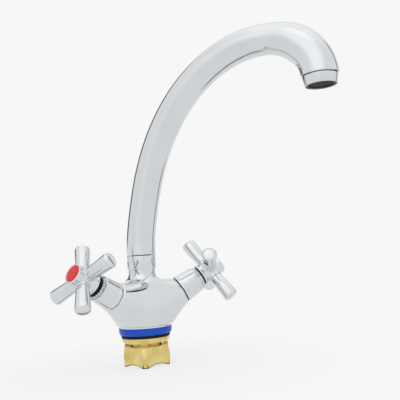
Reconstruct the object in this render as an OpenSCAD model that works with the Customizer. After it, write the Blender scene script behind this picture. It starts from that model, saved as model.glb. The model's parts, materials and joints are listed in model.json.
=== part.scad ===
// Two handle kitchen faucet: a body for one deck hole, two raised cross-handle valves, a swivelling spout
// Frame: +Z up, front is -Y, hot is -X, cold is +X, origin at the hole's centre on the deck's top face

/* [Deck mounting] */
// Thickness of the rubber gasket on the deck
gasket_h = 2.5; // [2:0.5:5]
// Radius of the rubber gasket
gasket_r = 22.3; // [20:0.2:24]
// Height of the plastic base ring
ring_h = 6.5; // [5:0.5:10]
// Radius of the plastic base ring
ring_r = 24.2; // [23:0.2:27]
// Radius of the threaded shank, over its crests
shank_r = 13; // [12:0.1:14]
// Wall of the shank under its thread
shank_wall = 1.5; // [1.2:0.1:1.8]
// Pitch of the shank's thread
shank_pitch = 1.5; // [1:0.25:2]
// Depth of the shank's thread
thread_depth = 0.9; // [0.5:0.1:1]
// Length of the shank below the deck's top face
shank_drop = 22; // [20:1:40]
// Length of the shank screwed into the foot
shank_grip = 8; // [6:0.5:10]

/* [Fixing nut] */
// Step from the nut's lobes out to its flange
nut_flange_step = 0.4; // [0:0.1:2]
// Height of the nut's flange
nut_flange_h = 5; // [3:0.5:7]
// Height of the whole nut
nut_h = 26.5; // [22:0.1:32]
// Wall of the nut at its hollows
nut_wall = 2.15; // [1.8:0.05:3]
// Depth of the hollows between the nut's lobes
nut_lobe_h = 6.2; // [4:0.1:7]
// Number of lobes
nut_lobes = 4; // [3:1:6]
// Turn of the nut on its thread
nut_turn = 58; // [0:1:90]

/* [Body] */
// Height of the point where the valve axes cross, above the base ring
cross_rise = 10.1; // [9:0.1:12]
// Rise of each valve axis above the horizontal
valve_rise = 29.5; // [26:0.5:34]
// Forward splay of each valve axis
valve_splay = 14; // [8:1:18]
// Distance from the crossing to the valve port's face
port_reach = 41; // [40:0.5:44]
// Wall of the valve port round its bore
port_wall = 4; // [3.4:0.1:5]
// Chamfer at the valve port's end
port_edge = 1.2; // [0.4:0.1:1.6]
// Radius of the body's foot
foot_r = 24; // [22:0.2:25]
// Extra radius of the belly over the foot
belly_bulge = 3; // [1:0.5:4]
// Height of the belly
belly_h = 16; // [12:1:20]
// Height of the saddle beside the neck, above the base ring
saddle_h = 42; // [40:0.5:44]
// Length of the neck above the saddle
neck_l = 10.5; // [9:0.5:14]
// Fillet from the neck to the saddle
neck_fillet = 9.5; // [4:0.5:10]

/* [Hose inlets] */
// Radius of each inlet hole
inlet_r = 4.5; // [4:0.1:4.6]
// Depth of each inlet's thread
inlet_depth = 8; // [6:0.5:9]
// Wall between the two inlets
inlet_web = 1.8; // [1:0.1:2]
// Radius of the waterways
water_r = 3; // [2:0.1:3.2]

/* [Spout] */
// Turn of the spout about the neck, from the +X direction
spout_turn = -62; // [-180:1:180]
// Length of the spout's centre line
spout_len = 314; // [240:2:360]
// Outer radius of the tube
tube_r = 13.3; // [13:0.1:14]
// Wall of the tube
tube_wall = 1.5; // [1:0.1:2]
// Height of the collar under the spout
collar_h = 12.5; // [11:0.5:16]
// Wall of the collar round the neck's spigot
collar_wall = 1.65; // [1.2:0.05:2]
// Wall of the neck's spigot
spigot_wall = 2.1; // [1.6:0.1:2.6]
// Wall of the tail that turns in the neck
tail_wall = 2.5; // [2:0.1:3.5]
// Depth of the tail below the collar
tail_drop = 14; // [12:0.5:16]

/* [Aerator] */
// Height of the aerator housing that shows
housing_h = 8.6; // [7:0.2:11]
// Step from the spout's nose in to the housing
housing_step = 0.9; // [0.4:0.1:1.2]
// Width of the lip round the housing's opening
housing_rim = 0.4; // [0.3:0.1:1.2]
// Step from the housing's thread in to its opening
housing_land = 0.3; // [0.2:0.1:1]
// Radius of the housing's screw thread
housing_thread_r = 13; // [12.6:0.1:13.2]
// Length of the housing's screw thread
housing_thread_l = 5; // [4:0.5:5]
// Wall of the housing at its thread
housing_wall = 1.4; // [1:0.1:1.8]
// Wall of the bush in the spout's nose
bush_wall = 1; // [0.8:0.1:1.6]
// Distance between the screen's holes
screen_pitch = 1.9; // [1.5:0.1:3]

/* [Valves] */
// Radius of the bore in the valve port
port_bore_r = 9.4; // [9.2:0.1:9.8]
// Depth of the bore in the valve port
port_bore_l = 17; // [16:0.5:17.5]
// Wall of the valve's barrel round the discs
barrel_wall = 1.25; // [0.9:0.05:1.5]
// Thickness of each ceramic disc
disc_h = 3.2; // [2.6:0.1:3.4]
// Thickness of the rubber seat
seat_h = 2.4; // [2:0.1:3]
// Radius of the spindle
spindle_r = 4; // [3.5:0.1:4.3]
// Wall of the valve round its spindle
valve_neck_wall = 4; // [3.2:0.1:4.4]
// Teeth of the spindle's spline
spline_teeth = 20; // [12:1:24]
// Depth of the spline's teeth
spline_depth = 0.5; // [0.3:0.1:0.8]
// How much the bonnet sleeve narrows towards the handle
sleeve_taper = 1.4; // [0.6:0.1:1.6]
// Length of the bonnet sleeve
sleeve_l = 18.4; // [17:0.2:22]
// Wall of the bonnet sleeve
sleeve_wall = 1.1; // [0.8:0.1:1.1]
// Width of the serrated stop ring
stop_w = 2.8; // [2:0.1:3.4]
// Height of the serrated stop ring
stop_h = 3; // [2:0.2:4]
// Serrations of the stop ring
stop_teeth = 24; // [16:1:36]

/* [Handles] */
// Gap between the stop ring and the hub
hub_gap = 1.6; // [1.2:0.1:5]
// How far the hot handle stands out on its spline
hot_lift = 1.6; // [0.2:0.1:2.4]
// Radius of the hub
hub_r = 9.3; // [9:0.1:10]
// Length of the hub
hub_l = 23; // [22:0.5:25]
// Share of the hub that lies outside the arms
hub_out_share = 0.51; // [0.49:0.01:0.54]
// How far the hub widens towards the sleeve
hub_flare = 1.2; // [0.4:0.1:1.4]
// Radius from the hub's axis to the end of an arm's rim
arm_reach = 33.6; // [26:0.1:40]
// Radius of an arm at the hub
arm_root_r = 5.9; // [4.6:0.1:6.1]
// Radius of an arm at its end
arm_end_r = 7; // [6.2:0.1:7.6]
// Height of the dome on an arm's end
arm_dome = 1.5; // [0.5:0.1:3]
// Radius of an arm's screwed stud
stud_r = 3; // [2.5:0.1:3.2]
// Turn of the hot handle on its spindle
hot_turn = 31.4; // [0:0.2:90]
// Turn of the cold handle on its spindle
cold_turn = 58.8; // [0:0.2:90]
// Wall of the hub round the colour index
hub_rim = 1.55; // [0.8:0.05:2]
// Height of the index's dome
index_dome = 0.8; // [0.4:0.1:1.6]

/* [Hidden] */

// Fits
thread_fit = 0.05;
running_fit = 0.05;
face_fit = 0.03;
solder_gap = 0.15;
groove_gap = 0.1;
foot_gap = 0.2;
seam = 0.4;
over = 1;

// Finish of round surfaces
$fn = 64;
hull_fn = 64;

// Heights, from the deck up
ring_top = gasket_h + ring_h;
cross_z = ring_top + cross_rise;
saddle_z = ring_top + saddle_h;
neck_z = saddle_z + neck_l;
belly_r = foot_r + belly_bulge;
belly_z = ring_top + belly_h;
collar_top = neck_z + collar_h;
tube_base = collar_top + seam;

// Shank, nut and inlets
shank_root_r = shank_r - thread_depth;
shank_bore_r = shank_root_r - shank_wall;
shank_top = ring_top + shank_grip;
nut_hollow_r = shank_r + running_fit + nut_wall;
nut_lobe_r = nut_hollow_r + nut_lobe_h;
nut_flange_r = nut_lobe_r + nut_flange_step;
nut_root_step = 1;
inlet_pitch = 2 * inlet_r + inlet_web;
inlet_top = shank_top + inlet_depth;
inlet_relief_r = inlet_r * 0.8;
inlet_relief_h = 4;

// Swivel
neck_spigot_h = 6.5;
neck_spigot_r = tube_r - collar_wall - thread_fit;
neck_bore_r = neck_spigot_r - spigot_wall;
neck_step = 0.8;
neck_r = neck_spigot_r + neck_step;
saddle_r = neck_r + (belly_r - neck_r) * neck_l / (neck_z - belly_z) * 0.9;
tail_clearance = 0.6;
tail_r = neck_bore_r - tail_clearance;
tail_bore_r = tail_r - tail_wall;
tail_bottom = neck_z - tail_drop;
tail_end_gap = 2;
tail_end_land = 1.2;
tail_flange_h = 3;
tail_oring_d = 1.8;
tail_groove_r = neck_bore_r - running_fit - tail_oring_d;
split_gap = 0.23;
split_z = neck_z + neck_spigot_h + split_gap;
split_h = 1.6;
split_inset = 0.6;
split_r = neck_spigot_r - split_inset;
split_bite = 0.9;
split_groove_r = tail_r - split_bite;
split_cut = 1.2;
collar_lip_z = split_z + split_h + split_gap;
function tail_ring_z(i) = tail_bottom + tail_end_land + tail_oring_d * (0.5 + 2.2 * (i - 1));

// Stations along the nose, from the spout's end
nose_r = housing_thread_r + thread_fit + bush_wall + solder_gap + tube_wall;
bush_rim_l = 2;
bush_tail_l = 0.5;
housing_r = nose_r - housing_step;
housing_wall_r = housing_thread_r - housing_wall;
housing_bore_r = housing_thread_r - housing_land;
housing_lip_r = housing_bore_r + housing_rim;
floor_h = 1;
housing_floor = seam + floor_h;
insert_wall = 1;
insert_r = housing_wall_r - thread_fit;
insert_bore_r = insert_r - insert_wall;
insert_sink = 0.3;
window_w = 1.6;
window_h = 2;
screen_ledge = 0.25;
screen_r = insert_bore_r + screen_ledge;
screen_h = 0.8;
screen_sink = 1.2;
screen_margin = 1.2;
screen_w = housing_h - screen_sink - screen_h;
washer_h = 1.8;
washer_w = 2.9;

// Stations along a valve axis, from the crossing
port_r = port_bore_r + port_wall;
disc_r = port_bore_r - thread_fit - barrel_wall;
bore_t = port_reach - port_bore_l;
fixed_t = bore_t + seat_h;
moving_t = fixed_t + disc_h + face_fit;
foot_t = moving_t + disc_h + face_fit;
foot_h = 2;
seat_clearance = 0.6;
tongue_h = 1.4;
tongue_w = 2.9;
valve_neck_r = spindle_r + valve_neck_wall;
sleeve_r = port_r;
sleeve_end_r = sleeve_r - sleeve_taper;
sleeve_edge = 0.6;
sleeve_t = port_reach + seam;
sleeve_end_t = sleeve_t + sleeve_l;
hex_h = 6;
hex_clearance = 0.8;
hex_r = sleeve_r - sleeve_wall - hex_clearance;
shoulder_h = 2;
shoulder_r = sleeve_end_r - sleeve_wall - sleeve_edge - groove_gap;
lip_h = 1.2;
stop_t = sleeve_end_t + face_fit;
stop_end_t = stop_t + stop_h;
stop_r = valve_neck_r + stop_w;
stop_tooth = 0.8;
hub_t = stop_end_t + hub_gap;
guide_wall = 1.2;
guide_r = valve_neck_r + running_fit + guide_wall;
clip_h = 0.8;
valve_end_t = hub_t - seam - clip_h - 2 * face_fit;
spindle_oring_d = 0.95;
spindle_groove = 1;
spindle_ring_t = port_reach + hex_h;
clip_t = valve_end_t + face_fit;
clip_w = 1.6;
clip_bite = 0.7;
clip_cut = 1.6;
hub_reach = hub_t + hub_l * (1 - hub_out_share);
hub_end_t = hub_t + hub_l;
spline_end_t = hub_reach - seam;
web_h = 0.8;
web_end_t = hub_reach + stud_r + web_h;
spindle_hole_r = spindle_r / 2;
screw_head_r = 3.6;
screw_head_h = 2.4;
screw_l = 10;
screw_gap = 1;
pocket_r = hub_r - hub_rim;
index_r = pocket_r - running_fit;
index_body_h = 2.2;
boss_step = 0.4;
boss_r = arm_root_r + boss_step;
boss_h = 0.5;
boss_reach = hub_r + boss_h;
hub_foot_r = hub_r + hub_flare;
core_wall = 1.2;
stud_root = spindle_r + running_fit + core_wall;
arm_round = 0.8;

// Spout path: share of the length against heading from straight up
heading_share = [
    [0, 0], [0.07, 10], [0.2, 15.5], [0.34, 28], [0.47, 42.5], [0.6, 60], [0.74, 84.5], [0.81, 98.5],
    [0.875, 120], [0.94, 146.5], [1, 178]
];
flare_from_share = 0.79;
flare_to_share = 0.91;
bend_share = 0.6;
straight_rings = 20;
bend_rings = 24;
spout_rings = straight_rings + bend_rings;
spout_sides = 36;
function ring_at(i) = spout_len * (i <= straight_rings
    ? bend_share * i / straight_rings
    : bend_share + (1 - bend_share) * (i - straight_rings) / bend_rings);
function heading(s) = lookup(s / spout_len, heading_share);
function ease(t) = t <= 0 ? 0 : t >= 1 ? 1 : t * t * (3 - 2 * t);
function flare(s) = ease((s / spout_len - flare_from_share) / (flare_to_share - flare_from_share));
function spout_r(s) = tube_r + (nose_r - tube_r) * flare(s);
function stride(i) = let (m = heading((ring_at(i) + ring_at(i + 1)) / 2))
    (ring_at(i + 1) - ring_at(i)) * [sin(m), cos(m)];
spout_path = [for (i = 0, p = [0, tube_base]; i <= spout_rings; p = p + stride(i), i = i + 1) p];
nose_at = spout_path[spout_rings];
nose_heading = heading(spout_len);

// Carries its children to a valve axis: side is -1 for hot, 1 for cold
module on_valve(side)
    translate([0, 0, cross_z])
        rotate([0, 90 - valve_rise, side > 0 ? -valve_splay : 180 + valve_splay]) children();

module on_handle(side)
    on_valve(side) rotate([0, 0, side > 0 ? cold_turn : hot_turn]) children();

// Carries its children to a handle's seat on the spline
function lift(side) = side > 0 ? 0 : hot_lift;
module on_seat(side)
    on_handle(side) translate([0, 0, lift(side)]) children();

// Carries its children to the nose, with +Z the way the water leaves
module on_nose()
    rotate([0, 0, spout_turn]) translate([nose_at[0], 0, nose_at[1]]) rotate([0, nose_heading, 0]) children();

// Ring between two heights
module ring(z, h, r, bore)
    translate([0, 0, z]) difference() {
        cylinder(h = h, r = r);
        translate([0, 0, -over]) cylinder(h = h + 2 * over, r = bore);
    }

// Rubber ring of round section
module oring(z, r, d)
    translate([0, 0, z]) rotate_extrude() translate([r - d / 2, 0]) circle(r = d / 2, $fn = 24);

// Star outline of teeth, for splines and serrations
module teeth_2d(n, r, depth)
    polygon([for (i = [0 : 2 * n - 1]) let (q = i % 2 == 0 ? r : r - depth, a = 180 * i / n)
        q * [cos(a), sin(a)]]);

// Deck mounting

module mounting_shank() color("goldenrod") {
    turns = floor((shank_drop + ring_top) / shank_pitch);
    rotate_extrude() polygon(concat(
        [[shank_bore_r, -shank_drop], [shank_root_r, -shank_drop]],
        [for (i = [0 : turns - 1]) each [
            [shank_r, -shank_drop + (i + 0.35) * shank_pitch],
            [shank_r, -shank_drop + (i + 0.65) * shank_pitch],
            [shank_root_r, -shank_drop + (i + 1) * shank_pitch]
        ]],
        [[shank_root_r, shank_top], [shank_bore_r, shank_top]]
    ));
}

module base_ring() color("royalblue") {
    chamfer = ring_h / 3;
    rotate_extrude() polygon([
        [shank_r + seam, gasket_h], [ring_r - chamfer / 2, gasket_h], [ring_r, gasket_h + chamfer],
        [ring_r, ring_top], [shank_r + seam, ring_top]
    ]);
}

module base_gasket() color("black") ring(0, gasket_h, gasket_r, shank_r + seam);

// Outline of the nut's lobes: a disc with round hollows between the lobes
module nut_star_2d() {
    half = 180 / nut_lobes;
    scoop_at = nut_lobe_r * 5;
    difference() {
        circle(r = nut_lobe_r);
        for (i = [0 : nut_lobes - 1])
            rotate(half + i * 2 * half) translate([scoop_at, 0]) circle(r = scoop_at - nut_hollow_r);
    }
}

module mounting_nut() color("darkkhaki") rotate([0, 0, nut_turn]) {
    slope = nut_lobe_r - nut_hollow_r;
    top = -nut_flange_h;
    recess_z = top - slope * 0.55;
    valley_z = -nut_h + slope * 0.35;
    root_r = nut_hollow_r - nut_root_step;
    difference() {
        union() {
            rotate_extrude() polygon([
                [0, 0], [nut_flange_r, 0], [nut_flange_r, -nut_flange_h * 0.4],
                [nut_flange_r - nut_flange_h * 0.15, -nut_flange_h * 0.75],
                [nut_flange_r - nut_flange_h * 0.38, -nut_flange_h], [0, -nut_flange_h]
            ]);
            translate([0, 0, valley_z]) cylinder(h = recess_z - valley_z, r = nut_hollow_r);
            translate([0, 0, recess_z - over]) cylinder(h = over - recess_z, r = root_r);
            intersection() {
                translate([0, 0, -nut_h]) linear_extrude(height = nut_h) nut_star_2d();
                rotate_extrude() polygon([
                    [0, recess_z], [nut_hollow_r, recess_z],
                    [nut_lobe_r - slope * 0.3, top], [nut_lobe_r, -nut_h * 0.69],
                    [nut_lobe_r - slope * 0.13, -nut_h], [nut_lobe_r - slope * 0.3, -nut_h],
                    [nut_hollow_r, valley_z], [0, valley_z]
                ]);
            }
        }
        translate([0, 0, -nut_h - over]) cylinder(h = nut_h + 2 * over, r = shank_r + running_fit);
    }
}

// Body

// The casting's convex form, from the foot to both valve ports and a disc round the neck
module casting_hull(top_z, top_r) hull() {
    rotate_extrude($fn = hull_fn) polygon(concat(
        [[0, ring_top]],
        [for (a = [0 : 15 : 90]) [foot_r + belly_bulge * sin(a), ring_top + belly_h * (1 - cos(a))]],
        [[0, belly_z]]
    ));
    for (side = [-1, 1]) on_valve(side) translate([0, 0, port_reach - port_edge])
        cylinder(h = port_edge, r1 = port_r, r2 = port_r - port_edge, $fn = hull_fn);
    translate([0, 0, top_z - over]) cylinder(h = over, r = top_r, $fn = hull_fn);
}

// Concave fillet from the neck down to the saddle
module neck_fillet_ring() rotate_extrude() polygon(concat(
    [[neck_r - over, saddle_z + neck_fillet]],
    [for (a = [0 : 15 : 90]) [
        neck_r + neck_fillet * (1 - cos(a)), saddle_z + neck_fillet * (1 - sin(a))
    ]],
    [[neck_r + neck_fillet, saddle_z - over], [neck_r - over, saddle_z - over]]
));

module body_shell() {
    casting_hull(saddle_z, saddle_r);
    intersection() {
        neck_fillet_ring();
        casting_hull(neck_z, neck_r);
    }
    translate([0, 0, belly_z]) cylinder(h = neck_z - belly_z, r = neck_r);
    translate([0, 0, neck_z - over]) cylinder(h = neck_spigot_h + over, r = neck_spigot_r);
}

// Straight waterway between two points
module waterway(a, b, r) {
    d = b - a;
    l = norm(d);
    translate(a) rotate([0, acos(d[2] / l), atan2(d[1], d[0])]) cylinder(h = l, r = r, $fn = 32);
}

function valve_point(side, t) = [
    side * t * cos(valve_rise) * cos(valve_splay), -t * cos(valve_rise) * sin(valve_splay),
    cross_z + t * sin(valve_rise)
];

module body() color("gainsboro") difference() {
    body_shell();
    translate([0, 0, ring_top - over]) cylinder(h = shank_grip + over, r = shank_r + thread_fit);
    translate([0, 0, tail_bottom - tail_end_gap]) cylinder(h = neck_z, r = neck_bore_r);
    for (side = [-1, 1]) {
        inlet = [side * inlet_pitch / 2, 0, inlet_top + inlet_relief_h * 0.875];
        translate([inlet[0], 0, shank_top - over]) cylinder(h = inlet_depth + over, r = inlet_r);
        translate([inlet[0], 0, shank_top]) cylinder(h = inlet_depth + inlet_relief_h, r = inlet_relief_r);
        on_valve(side) translate([0, 0, bore_t]) cylinder(h = port_bore_l + over, r = port_bore_r);
        on_valve(side) translate([0, 0, moving_t]) cylinder(h = disc_h + foot_h, r = port_bore_r + over);
        waterway(inlet, valve_point(side, bore_t + over), water_r);
        waterway([0, 0, tail_bottom], valve_point(side, moving_t + disc_h), water_r);
    }
}

// Swivel

module spout_collar() color("gainsboro") difference() {
    translate([0, 0, neck_z + face_fit]) cylinder(h = collar_h - face_fit, r = tube_r);
    translate([0, 0, neck_z]) cylinder(h = collar_lip_z - neck_z, r = neck_spigot_r + thread_fit);
    translate([0, 0, neck_z]) cylinder(h = collar_h + over, r = tail_r + running_fit);
}

module spout_tail() color("goldenrod") difference() {
    union() {
        translate([0, 0, tail_bottom]) cylinder(h = tube_base + over - tail_bottom, r = tail_r);
        translate([0, 0, tube_base + seam]) cylinder(h = tail_flange_h, r = tube_r - tube_wall - solder_gap);
    }
    translate([0, 0, tail_bottom - over])
        cylinder(h = tube_base - tail_bottom + 2 * tail_flange_h, r = tail_bore_r);
    for (i = [1, 2])
        ring(tail_ring_z(i) - tail_oring_d / 2 - groove_gap, tail_oring_d + 2 * groove_gap, tail_r + over,
            tail_groove_r);
    ring(split_z - face_fit, split_h + 2 * face_fit, tail_r + over, split_groove_r);
}

module tail_oring(i) color("dimgray") oring(tail_ring_z(i), neck_bore_r - running_fit, tail_oring_d);

module split_ring() color("silver") difference() {
    ring(split_z, split_h, split_r, split_groove_r + face_fit);
    translate([(split_r + split_groove_r) / 2, 0, split_z + split_h / 2])
        cube([split_r - split_groove_r + over, split_cut, split_h + over], center = true);
}

module slide_washer() color("black")
    ring(collar_top + face_fit / 2, seam - face_fit, tube_r - seam, tail_r + running_fit);

// Spout

function spout_ring(i, inset) =
    let (s = ring_at(i), h = heading(s), c = spout_path[i], r = spout_r(s) - inset)
    [for (k = [0 : spout_sides - 1]) let (a = 360 * k / spout_sides)
        [c[0] + r * cos(a) * cos(h), r * sin(a), c[1] - r * cos(a) * sin(h)]];

module spout() color("gainsboro") rotate([0, 0, spout_turn]) {
    n = spout_sides;
    m = spout_rings;
    skin = (m + 1) * n;
    points = concat(
        [for (i = [0 : m]) each spout_ring(i, 0)],
        [for (i = [0 : m]) each spout_ring(i, tube_wall)]
    );
    outer = [for (i = [0 : m - 1]) for (k = [0 : n - 1]) let (q = (k + 1) % n) each [
        [i * n + k, (i + 1) * n + k, i * n + q], [i * n + q, (i + 1) * n + k, (i + 1) * n + q]
    ]];
    inner = [for (f = outer) [skin + f[0], skin + f[2], skin + f[1]]];
    foot = [for (k = [0 : n - 1]) let (q = (k + 1) % n) each [
        [k, q, skin + k], [q, skin + q, skin + k]
    ]];
    nose = [for (k = [0 : n - 1]) let (q = (k + 1) % n, t = m * n) each [
        [t + k, skin + t + k, t + q], [t + q, skin + t + k, skin + t + q]
    ]];
    polyhedron(points = points, faces = concat(outer, inner, foot, nose), convexity = 6);
}

// Aerator: w runs the way the water leaves, from the spout's end

module nose_bush() color("goldenrod") on_nose() {
    bore = housing_thread_r + thread_fit;
    rim_r = bore + bush_wall;
    back_r = bore + bush_wall * 0.4;
    back = -housing_thread_l - bush_tail_l;
    rotate_extrude() polygon([
        [bore, back], [back_r, back], [back_r, -bush_rim_l], [rim_r, -bush_rim_l], [rim_r, 0], [bore, 0]
    ]);
}

module aerator_housing() color("gainsboro") on_nose() rotate_extrude() polygon([
    [housing_wall_r, -housing_thread_l], [housing_thread_r, -housing_thread_l], [housing_thread_r, seam],
    [housing_r, seam], [housing_lip_r, housing_h - housing_rim], [housing_lip_r - housing_rim / 3, housing_h],
    [housing_bore_r, housing_h], [housing_bore_r, housing_floor], [housing_wall_r, housing_floor]
]);

module aerator_gasket() color("black")
    on_nose() ring(-housing_thread_l - washer_h, washer_h, housing_thread_r - groove_gap,
        housing_thread_r - groove_gap - washer_w);

module aerator_insert() color("dimgray") on_nose() difference() {
    rotate_extrude() polygon([
        [insert_bore_r, -housing_thread_l], [insert_r, -housing_thread_l],
        [insert_r, housing_floor + face_fit], [housing_bore_r - thread_fit, housing_floor + face_fit],
        [housing_bore_r - thread_fit, housing_h - insert_sink], [screen_r, housing_h - insert_sink],
        [screen_r, screen_w], [insert_bore_r, screen_w]
    ]);
    for (i = [0 : 7])
        rotate([0, 0, 45 * i]) translate([insert_r - insert_wall / 2, 0, window_h - housing_thread_l])
            cube([insert_wall + over, window_w, window_h], center = true);
}

module aerator_screen() color("gray") on_nose() {
    field_r = screen_r - screen_margin;
    n = floor(field_r / screen_pitch);
    translate([0, 0, screen_w]) linear_extrude(height = screen_h) difference() {
        circle(r = screen_r - thread_fit);
        for (i = [-n : n]) for (j = [-n : n])
            if (norm([i, j]) * screen_pitch < field_r)
                translate([i, j] * screen_pitch) square(screen_pitch * 0.6, center = true);
    }
}

// Valves

module seat_seal(side) color("black")
    on_valve(side) ring(bore_t, seat_h, port_bore_r - seat_clearance, disc_r * 0.6);

// A pair of holes through a disc, on the local X axis
module disc_holes(t, at_share)
    for (s = [-1, 1]) translate([s * disc_r * at_share, 0, t - over])
        cylinder(h = disc_h + 2 * over, r = disc_r * 0.28);

module fixed_disc(side) color("white") on_handle(side) difference() {
    translate([0, 0, fixed_t]) cylinder(h = disc_h, r = disc_r);
    disc_holes(fixed_t, 0.48);
}

module moving_disc(side) color("whitesmoke") on_handle(side) difference() {
    translate([0, 0, moving_t]) cylinder(h = disc_h, r = disc_r);
    translate([0, 0, moving_t + disc_h])
        cube([disc_r * 1.5, tongue_w + 2 * groove_gap, 2 * (tongue_h + groove_gap)], center = true);
    rotate([0, 0, 90]) disc_holes(moving_t, 0.76);
}

module valve_body(side) color("goldenrod") on_handle(side) {
    wall_r = port_bore_r - thread_fit;
    shoulder_t = sleeve_end_t - lip_h - face_fit;
    barrel_end_t = foot_t + foot_h + foot_gap;
    difference() {
        union() {
            translate([0, 0, fixed_t]) cylinder(h = port_reach - fixed_t, r = wall_r);
            translate([0, 0, port_reach]) cylinder(h = hex_h, r = hex_r, $fn = 6);
            translate([0, 0, port_reach]) cylinder(h = valve_end_t - port_reach, r = valve_neck_r);
            translate([0, 0, shoulder_t - shoulder_h]) cylinder(h = shoulder_h, r = shoulder_r);
        }
        translate([0, 0, fixed_t - over])
            cylinder(h = barrel_end_t - fixed_t + over, r = disc_r + running_fit);
        translate([0, 0, fixed_t]) cylinder(h = valve_end_t, r = spindle_r + running_fit);
        translate([0, 0, moving_t + disc_h / 2])
            rotate([0, 90, 0]) cylinder(h = 4 * disc_r, r = disc_h * 0.4, center = true);
    }
}

module spindle(side) color("goldenrod") on_handle(side) difference() {
    union() {
        translate([0, 0, foot_t]) cylinder(h = foot_h, r = disc_r - foot_gap);
        translate([0, 0, foot_t]) cube([disc_r * 1.4, tongue_w, 2 * tongue_h], center = true);
        translate([0, 0, foot_t]) cylinder(h = hub_t - foot_t, r = spindle_r);
        translate([0, 0, hub_t]) linear_extrude(height = spline_end_t - hub_t)
            teeth_2d(spline_teeth, spindle_r - running_fit, spline_depth);
    }
    ring(spindle_ring_t - spindle_groove, 2 * spindle_groove, spindle_r + over, spindle_r - spindle_groove);
    ring(clip_t - face_fit, clip_h + 2 * face_fit, spindle_r + over, spindle_r - clip_bite);
    translate([0, 0, spline_end_t - screw_l]) cylinder(h = screw_l + over, r = spindle_hole_r);
}

module spindle_oring(side) color("black")
    on_handle(side) oring(spindle_ring_t, spindle_r, spindle_oring_d);

module spindle_clip(side) color("silver") on_handle(side) difference() {
    ring(clip_t, clip_h, spindle_r + clip_w, spindle_r - clip_bite + face_fit);
    translate([spindle_r + (clip_w - clip_bite) / 2, 0, clip_t + clip_h / 2])
        cube([clip_w + clip_bite + over, clip_cut, clip_h + over], center = true);
}

module bonnet_sleeve(side) color("gainsboro") on_valve(side) {
    rim_h = 2.2;
    rim_step = 0.35;
    narrowing = sleeve_taper / sleeve_l * sleeve_edge;
    rotate_extrude() polygon([
        [sleeve_r - sleeve_wall, sleeve_t], [sleeve_r, sleeve_t], [sleeve_r, sleeve_t + rim_h],
        [sleeve_r - rim_step, sleeve_t + rim_h + rim_step],
        [sleeve_end_r + narrowing, sleeve_end_t - sleeve_edge], [sleeve_end_r - sleeve_edge, sleeve_end_t],
        [valve_neck_r + running_fit, sleeve_end_t], [valve_neck_r + running_fit, sleeve_end_t - lip_h],
        [sleeve_end_r - sleeve_wall - sleeve_edge, sleeve_end_t - lip_h]
    ]);
}

module stop_ring(side) color("silver") on_valve(side) difference() {
    translate([0, 0, stop_t]) linear_extrude(height = stop_h) teeth_2d(stop_teeth, stop_r, stop_tooth);
    translate([0, 0, stop_t - over]) cylinder(h = stop_h + 2 * over, r = valve_neck_r + thread_fit);
}

module guide_ring(side) color("black") on_valve(side)
    ring(stop_end_t + face_fit, hub_gap + lift(side) - seam - face_fit, guide_r,
        valve_neck_r + running_fit);

// Handles

module hub(side) color("gainsboro") on_seat(side) difference() {
    edge = 0.7;
    union() {
        rotate_extrude() polygon([
            [0, hub_t], [hub_foot_r - edge, hub_t], [hub_foot_r, hub_t + edge],
            [hub_foot_r, hub_t + 2 * edge],
            [hub_foot_r - hub_flare * 0.7, hub_t + 2 * edge + hub_flare],
            [hub_r, hub_t + 2 * edge + 2.4 * hub_flare],
            [hub_r, hub_end_t - edge / 2], [hub_r - edge / 2, hub_end_t], [0, hub_end_t]
        ]);
        for (i = [0 : 3]) translate([0, 0, hub_reach]) rotate([0, 90, 90 * i])
            cylinder(h = boss_reach, r = boss_r);
    }
    translate([0, 0, hub_t - over])
        cylinder(h = spline_end_t + face_fit - hub_t + over, r = spindle_r + running_fit / 2);
    translate([0, 0, hub_t]) cylinder(h = hub_l, r = spindle_hole_r + running_fit);
    translate([0, 0, web_end_t]) cylinder(h = hub_l, r = pocket_r);
    for (i = [0 : 3]) translate([0, 0, hub_reach]) rotate([0, 90, 90 * i])
        translate([0, 0, stud_root]) cylinder(h = boss_reach, r = stud_r + thread_fit);
}

module arm(side, i) color("gainsboro") on_seat(side) translate([0, 0, hub_reach]) {
    face_r = arm_end_r - arm_round;
    rotate([0, 90, 90 * (i - 1)]) rotate_extrude() polygon(concat(
        [
            [0, stud_root + face_fit], [stud_r, stud_root + face_fit],
            [stud_r, boss_reach + face_fit], [arm_root_r, boss_reach + face_fit]
        ],
        [for (a = [0 : 30 : 90]) [face_r + arm_round * cos(a), arm_reach - arm_round * (1 - sin(a))]],
        [for (a = [22.5 : 22.5 : 90]) [face_r * cos(a), arm_reach + arm_dome * sin(a)]]
    ));
}

module handle_screw(side) color("silver") on_seat(side) difference() {
    union() {
        translate([0, 0, web_end_t + face_fit]) cylinder(h = screw_head_h, r = screw_head_r);
        translate([0, 0, spline_end_t - screw_l + screw_gap])
            cylinder(h = web_end_t - spline_end_t + screw_l, r = spindle_hole_r - running_fit);
    }
    translate([0, 0, web_end_t + screw_head_h / 2]) cylinder(h = screw_head_h, r = screw_head_r / 2, $fn = 6);
}

module index(side) color(side > 0 ? "royalblue" : "tomato") on_seat(side) {
    base = hub_end_t - index_body_h;
    rotate_extrude() polygon(concat(
        [[0, base], [index_r, base], [index_r, hub_end_t]],
        [for (a = [30 : 30 : 90]) [index_r * cos(a), hub_end_t + index_dome * sin(a)]]
    ));
    translate([0, 0, web_end_t + screw_head_h + 2 * face_fit])
        cylinder(h = base - web_end_t - screw_head_h, r = screw_head_r);
}

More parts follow.
